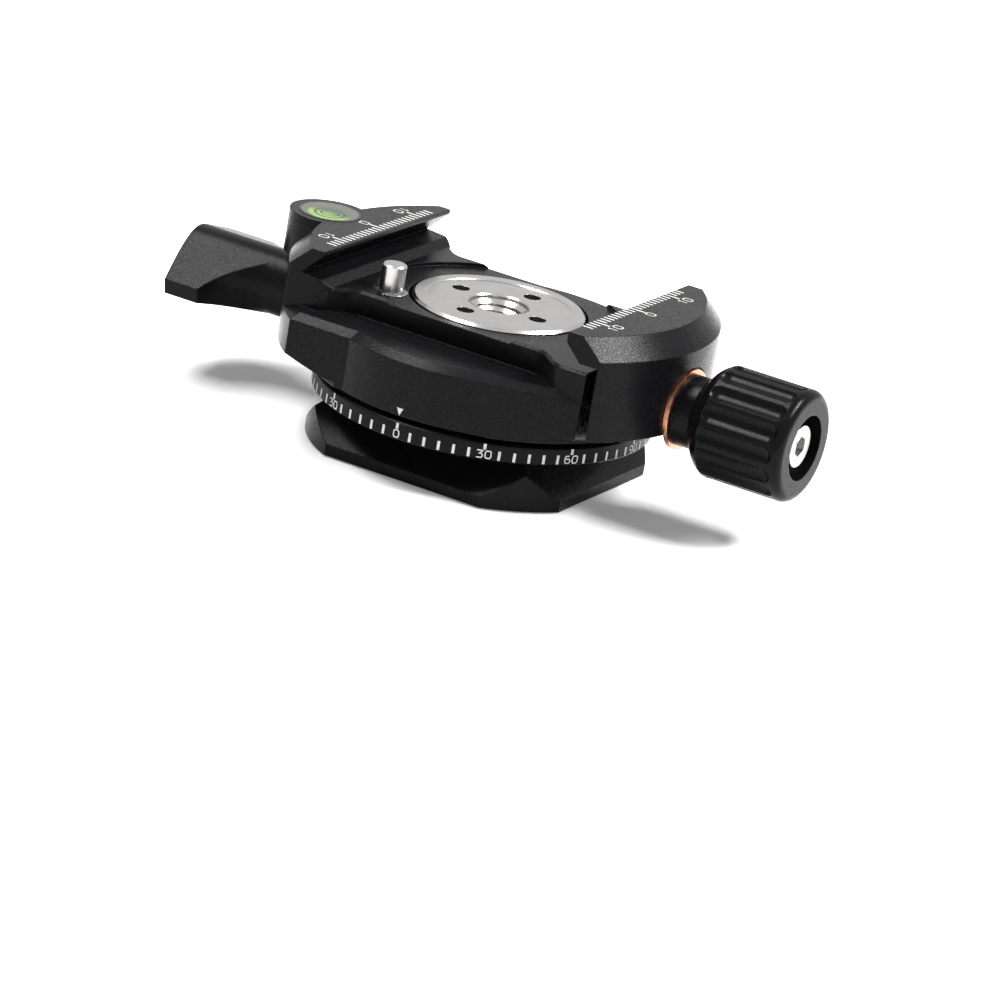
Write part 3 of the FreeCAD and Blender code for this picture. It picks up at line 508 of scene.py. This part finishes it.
def laid_on(name, polygons, surface, thickness):
    """Thin closed plates on a surface; surface(u, v, lift) gives a point of it."""
    mesh = bmesh.new()
    for polygon in polygons:
        low = [mesh.verts.new(surface(u, v, -thickness)) for u, v in polygon]
        high = [mesh.verts.new(surface(u, v, thickness)) for u, v in polygon]
        mesh.faces.new(high)
        mesh.faces.new(list(reversed(low)))
        for index in range(len(polygon)):
            after = (index + 1) % len(polygon)
            mesh.faces.new([low[index], low[after], high[after], high[index]])
    return as_object(name, mesh)


def as_object(name, mesh):
    """Turn a finished bmesh into an object of the scene."""
    data = bpy.data.meshes.new(name)
    bmesh.ops.recalc_face_normals(mesh, faces=mesh.faces)
    mesh.to_mesh(data)
    mesh.free()
    item = bpy.data.objects.new(name, data)
    bpy.context.scene.collection.objects.link(item)
    return item


def finished(item, material, body):
    """Give a new piece its material and its slot, and let it ride on a body."""
    item.data.materials.append(material)
    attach(item, body)
    return item


def coat(material, *nodes):
    """Put a material on nodes of the frame."""
    for node in nodes:
        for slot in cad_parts[node].material_slots:
            slot.material = material


def drum(radius, height):
    """A surface function for an upright drum: u runs round from -Y towards +X, v is the height."""
    def point(u, v, lift):
        turn = u / radius
        out = radius + lift
        return Vector((out * math.sin(turn), -out * math.cos(turn), height + v))
    return point


def flat(origin, right, up):
    """A surface function for a plane."""
    right, up = Vector(right), Vector(up)
    lift_axis = right.cross(up)

    def point(u, v, lift):
        return Vector(origin) + right * u + up * v + lift_axis * lift
    return point


class PieceOperator:
    """What the operators share."""

    bl_options = {"REGISTER", "UNDO"}

    def execute(self, context):
        self.make(context.scene)
        return {"FINISHED"}


class PANHEAD_OT_metals(PieceOperator, bpy.types.Operator):
    """Give the frame's parts their finishes"""

    bl_idname = "panhead.metals"
    bl_label = "Finish the metal parts"

    def make(self, scene):
        finish = scene.panhead_finish
        coat(blasted_black("anodised_body", finish), "head_body", "moving_jaw", "base_plate")
        coat(blasted_black("anodised_ring", finish, 0.26, 0.6), "scale_ring", "pin_plug")
        coat(blasted_black("anodised_knob", finish, 0.20, 0.7, finish.knob_edge),
             "clamp_knob", "lever_collar")
        coat(blasted_black("anodised_lever", finish, 0.30, 0.7, finish.lever_edge), "lock_lever")
        coat(turned_steel("steel_disc", finish, 0.0, 0.0), "top_disc", "pan_spindle")
        coat(plain_steel("steel_parts", finish),
             "jaw_guide_pins", "jaw_springs", "stop_pin", "pin_bush", "pin_spring", "clamp_spindle",
             "knob_end_screw", "lock_stud", "lever_end_screw", "lever_washer", "preload_washer")
        coat(turned_copper("copper_washer", finish), "copper_washer")
        coat(polymer("slide_polymer", (0.75, 0.75, 0.7), 0.5),
             "lower_slide_washer", "upper_slide_washer")
        coat(polymer("bronze_shoe", (0.5, 0.34, 0.16), 0.4), "brake_shoe")


class PANHEAD_OT_level(PieceOperator, bpy.types.Operator):
    """Finish the bubble level"""

    bl_idname = "panhead.level"
    bl_label = "Finish the bubble level"

    def make(self, scene):
        finish, level = scene.panhead_finish, scene.panhead_level
        axis_x = sum(corner.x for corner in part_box("level_cup")) / 2
        coat(polymer("level_black", (0.010, 0.010, 0.010), 0.35), "level_cup")
        for node, circle, inside in (("level_liquid", level.circle, level.inside),
                                     ("level_bubble", level.bubble_circle, level.bubble_inside)):
            coat(level_fill(node, finish, axis_x, circle, inside, level.wall), node)
        coat(clear_lens("level_lens"), "level_lens")


class PANHEAD_OT_degree_ring(PieceOperator, bpy.types.Operator):
    """Lay the ticks and the numbers on the degree ring"""

    bl_idname = "panhead.degree_ring"
    bl_label = "Mark the degree ring"

    def make(self, scene):
        scales = scene.panhead_scales
        low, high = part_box("scale_ring")
        radius = high.x
        surface = drum(radius, low.z)
        number_middle = scales.ring_margin + scales.ring_tick / 2
        long_middle = number_middle + scales.ring_tick / 2 + scales.long_rise
        steps = round(2 * math.pi / scales.tick_step)
        per_number = round(scales.number_step / scales.tick_step)
        polygons = []
        for step in range(-steps // 2, steps // 2):
            along = step * scales.tick_step * radius
            if step % per_number:
                polygons.append(rectangle((along, number_middle), scales.tick_width / 2,
                                          scales.ring_tick / 2))
                continue
            degrees = abs(round(math.degrees(step * scales.tick_step)))
            polygons.append(rectangle((along, long_middle), scales.tick_width / 2,
                                      scales.long_tick / 2))
            polygons.extend(written(str(degrees), (along, number_middle), scales.ring_number,
                                    scales.stroke))
        marks = laid_on("degree_scale", polygons, surface, scales.ink)
        white = filled_print("white_print", scene.panhead_finish)
        finished(marks, white, "base")


class PANHEAD_OT_rulers(PieceOperator, bpy.types.Operator):
    """Lay the rulers on the two jaws"""

    bl_idname = "panhead.rulers"
    bl_label = "Mark the jaws"

    def make(self, scene):
        scales = scene.panhead_scales
        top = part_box("moving_jaw")[1].z
        moving_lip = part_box("moving_jaw")[0].x
        fixed_place = (-scales.fixed_lip - scales.fixed_margin, 0, top)
        moving_place = (moving_lip + scales.moving_margin, 0, top)
        rulers = {
            "fixed_ruler": (flat(fixed_place, (0, -1, 0), (1, 0, 0)), "head"),
            "moving_ruler": (flat(moving_place, (0, 1, 0), (-1, 0, 0)), "moving_jaw"),
        }
        for name, (surface, body) in rulers.items():
            marks = laid_on(name, self.ruler(scales), surface, scales.ink)
            finished(marks, bpy.data.materials["white_print"], body)

    def ruler(self, scales):
        """A ruler along u, with its long ticks and numbers on the side of -v."""
        polygons = []
        for step in range(-scales.ruler_ticks, scales.ruler_ticks + 1):
            along = step * scales.ruler_pitch
            numbered = step % scales.ruler_step == 0
            extra = scales.ruler_extra if numbered else 0.0
            polygons.append(rectangle((along, -extra / 2), scales.ruler_width / 2,
                                      (scales.ruler_tick + extra) / 2))
            if numbered:
                polygons.extend(written(str(abs(step)), (along, -scales.ruler_drop),
                                        scales.ruler_number, scales.stroke))
        return polygons


class PANHEAD_OT_index(PieceOperator, bpy.types.Operator):
    """Lay the index triangle on the body, over the zero of the degree ring"""

    bl_idname = "panhead.index"
    bl_label = "Mark the index"

    def make(self, scene):
        scales = scene.panhead_scales
        surface = drum(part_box("scale_ring")[1].x, scales.index_tip)
        half, rise = scales.index_half, scales.index_rise
        marks = laid_on("index_mark", [[(0, 0), (half, rise), (-half, rise)]], surface, scales.ink)
        finished(marks, bpy.data.materials["white_print"], "head")


# Share of the thread's depth that is left at the very ends, so that no edge closes up there.
LEAST_RIDGE = 0.02


class PANHEAD_OT_threads(PieceOperator, bpy.types.Operator):
    """Wind the tripod threads into the spindle and the foot"""

    bl_idname = "panhead.threads"
    bl_label = "Cut the threads"

    def make(self, scene):
        threads = scene.panhead_threads
        steel = bpy.data.materials["steel_parts"]
        black = bpy.data.materials["anodised_ring"]
        spindle_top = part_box("pan_spindle")[1].z
        self.wind("spindle_thread", threads, spindle_top - threads.spindle_length,
                  spindle_top - threads.lead, steel, "bright_steel")
        self.wind("foot_thread", threads, threads.lead, threads.foot_length,
                  black, "black_anodised")

    def wind(self, name, threads, low, high, material, slot):
        """One ridge that winds up the bore, tapered at both ends."""
        mesh = bmesh.new()
        steps = round((high - low) / threads.pitch * threads.facets)
        flank = threads.pitch * threads.flank
        taper = threads.facets * threads.run_out
        root = threads.radius + threads.sink
        rows = []
        for step in range(steps + 1):
            turn = 2 * math.pi * step / threads.facets
            height = low + flank + (high - low - 2 * flank) * step / steps
            full = min(1.0, step / taper, (steps - step) / taper)
            crest = threads.radius - threads.depth * max(full, LEAST_RIDGE)
            profile = [(root, -flank * full), (crest, -threads.crest * full),
                       (crest, threads.crest * full), (root, flank * full)]
            rows.append([mesh.verts.new((out * math.cos(turn), out * math.sin(turn), height + rise))
                         for out, rise in profile])
        for before, after in zip(rows, rows[1:]):
            for index in range(len(before)):
                following = (index + 1) % len(before)
                mesh.faces.new([before[index], before[following], after[following], after[index]])
        mesh.faces.new(rows[0])
        mesh.faces.new(list(reversed(rows[-1])))
        finished(as_object(name, mesh), material, "base")


# Where each lamp hangs, how wide and high it is, and its power in watts.
LAMPS = {
    "key_light": ((-0.42, -0.12, 0.90), 0.60, 0.28, 11.0),
    "side_light": ((0.60, 0.22, 0.77), 0.50, 0.24, 21.0),
}
FLOOR_HALF = 1.5
FLOOR_GAP = 0.2 * MM
FILM_WIDTH = 36.0


class PANHEAD_OT_studio(PieceOperator, bpy.types.Operator):
    """Set up the floor, the lamps and the camera"""

    bl_idname = "panhead.studio"
    bl_label = "Set up the studio"

    def make(self, scene):
        stage = scene.panhead_stage
        self.floor(stage)
        self.world(scene, stage)
        self.lamps()
        self.camera(scene, stage)
        scene.view_settings.view_transform = "Standard"

    def floor(self, stage):
        mesh = bmesh.new()
        low = CAD_BOX[0].z - FLOOR_GAP
        corners = rectangle((0.0, 0.0), FLOOR_HALF, FLOOR_HALF)
        mesh.faces.new([mesh.verts.new((x, y, low)) for x, y in corners])
        item = as_object("studio_floor", mesh)
        shader = Shader("floor_paper")
        haze = shader.noise(0.4, 2.0)
        glow = shader.mixed(shader.shown(), (0.0, 0.0, 0.0), (stage.floor_lift,) * 3)
        shader.set(base_color=shader.mixed(haze, shade(stage.floor, 0.99), stage.floor),
                   roughness=0.9, specular_ior_level=0.0, emission_color=glow,
                   emission_strength=1.0)
        item.data.materials.append(shader.owner)

    def world(self, scene, stage):
        scene.world = bpy.data.worlds.new("studio_world")
        shader = Shader(scene.world, "Background")
        shader.set(color=(1.0, 1.0, 1.0), strength=stage.fill + shader.shown() * (1.0 - stage.fill))

    def lamps(self):
        for name, (spot, width, height, power) in LAMPS.items():
            light = bpy.data.lights.new(name, "AREA")
            light.shape = "RECTANGLE"
            light.size = width
            light.size_y = height
            light.energy = power
            item = bpy.data.objects.new(name, light)
            item.location = spot
            item.rotation_euler = (-Vector(spot)).to_track_quat("-Z", "Y").to_euler()
            bpy.context.scene.collection.objects.link(item)

    def camera(self, scene, stage):
        turn, rise = stage.azimuth, stage.elevation
        back = Vector((math.sin(turn) * math.cos(rise), -math.cos(turn) * math.cos(rise),
                       math.sin(rise)))
        right = Vector((math.cos(turn), math.sin(turn), 0.0))
        up = back.cross(right)
        tilt_cos, tilt_sin = math.cos(stage.roll), math.sin(stage.roll)
        rolled_right = right * tilt_cos + up * tilt_sin
        rolled_up = up * tilt_cos - right * tilt_sin
        data = bpy.data.cameras.new("photo_camera")
        data.lens = stage.lens
        data.sensor_width = FILM_WIDTH
        data.clip_start = 0.01
        data.clip_end = 20.0
        item = bpy.data.objects.new("photo_camera", data)
        axes = Matrix((rolled_right, rolled_up, back)).transposed()
        item.matrix_world = Matrix.LocRotScale(
            back * stage.distance + rolled_right * stage.offset_right + rolled_up * stage.offset_up,
            axes.to_quaternion(), None)
        scene.collection.objects.link(item)
        scene.camera = item


OPERATORS = (PANHEAD_OT_metals, PANHEAD_OT_level, PANHEAD_OT_degree_ring, PANHEAD_OT_rulers,
             PANHEAD_OT_index, PANHEAD_OT_threads, PANHEAD_OT_studio)


class PANHEAD_PT_sidebar(bpy.types.Panel):
    """Settings and steps of the pan head"""

    bl_idname = "PANHEAD_PT_sidebar"
    bl_label = "Pan Head"
    bl_space_type = "VIEW_3D"
    bl_region_type = "UI"
    bl_category = "Pan Head"

    def draw(self, context):
        for name, group in GROUPS.items():
            box = self.layout.box()
            box.label(text=group.__doc__)
            for key in group.__annotations__:
                box.prop(getattr(context.scene, name), key)
        for operator in OPERATORS:
            self.layout.operator(operator.bl_idname)


def register():
    for item in (*GROUPS.values(), *OPERATORS, PANHEAD_PT_sidebar):
        bpy.utils.register_class(item)
    for name, group in GROUPS.items():
        setattr(bpy.types.Scene, name, PointerProperty(type=group))


def unregister():
    for name in GROUPS:
        delattr(bpy.types.Scene, name)
    for item in (PANHEAD_PT_sidebar, *reversed(OPERATORS), *reversed(tuple(GROUPS.values()))):
        bpy.utils.unregister_class(item)


def main():
    register()
    for operator in OPERATORS:
        group, name = operator.bl_idname.split(".")
        getattr(getattr(bpy.ops, group), name)()


if __name__ == "__main__":
    main()
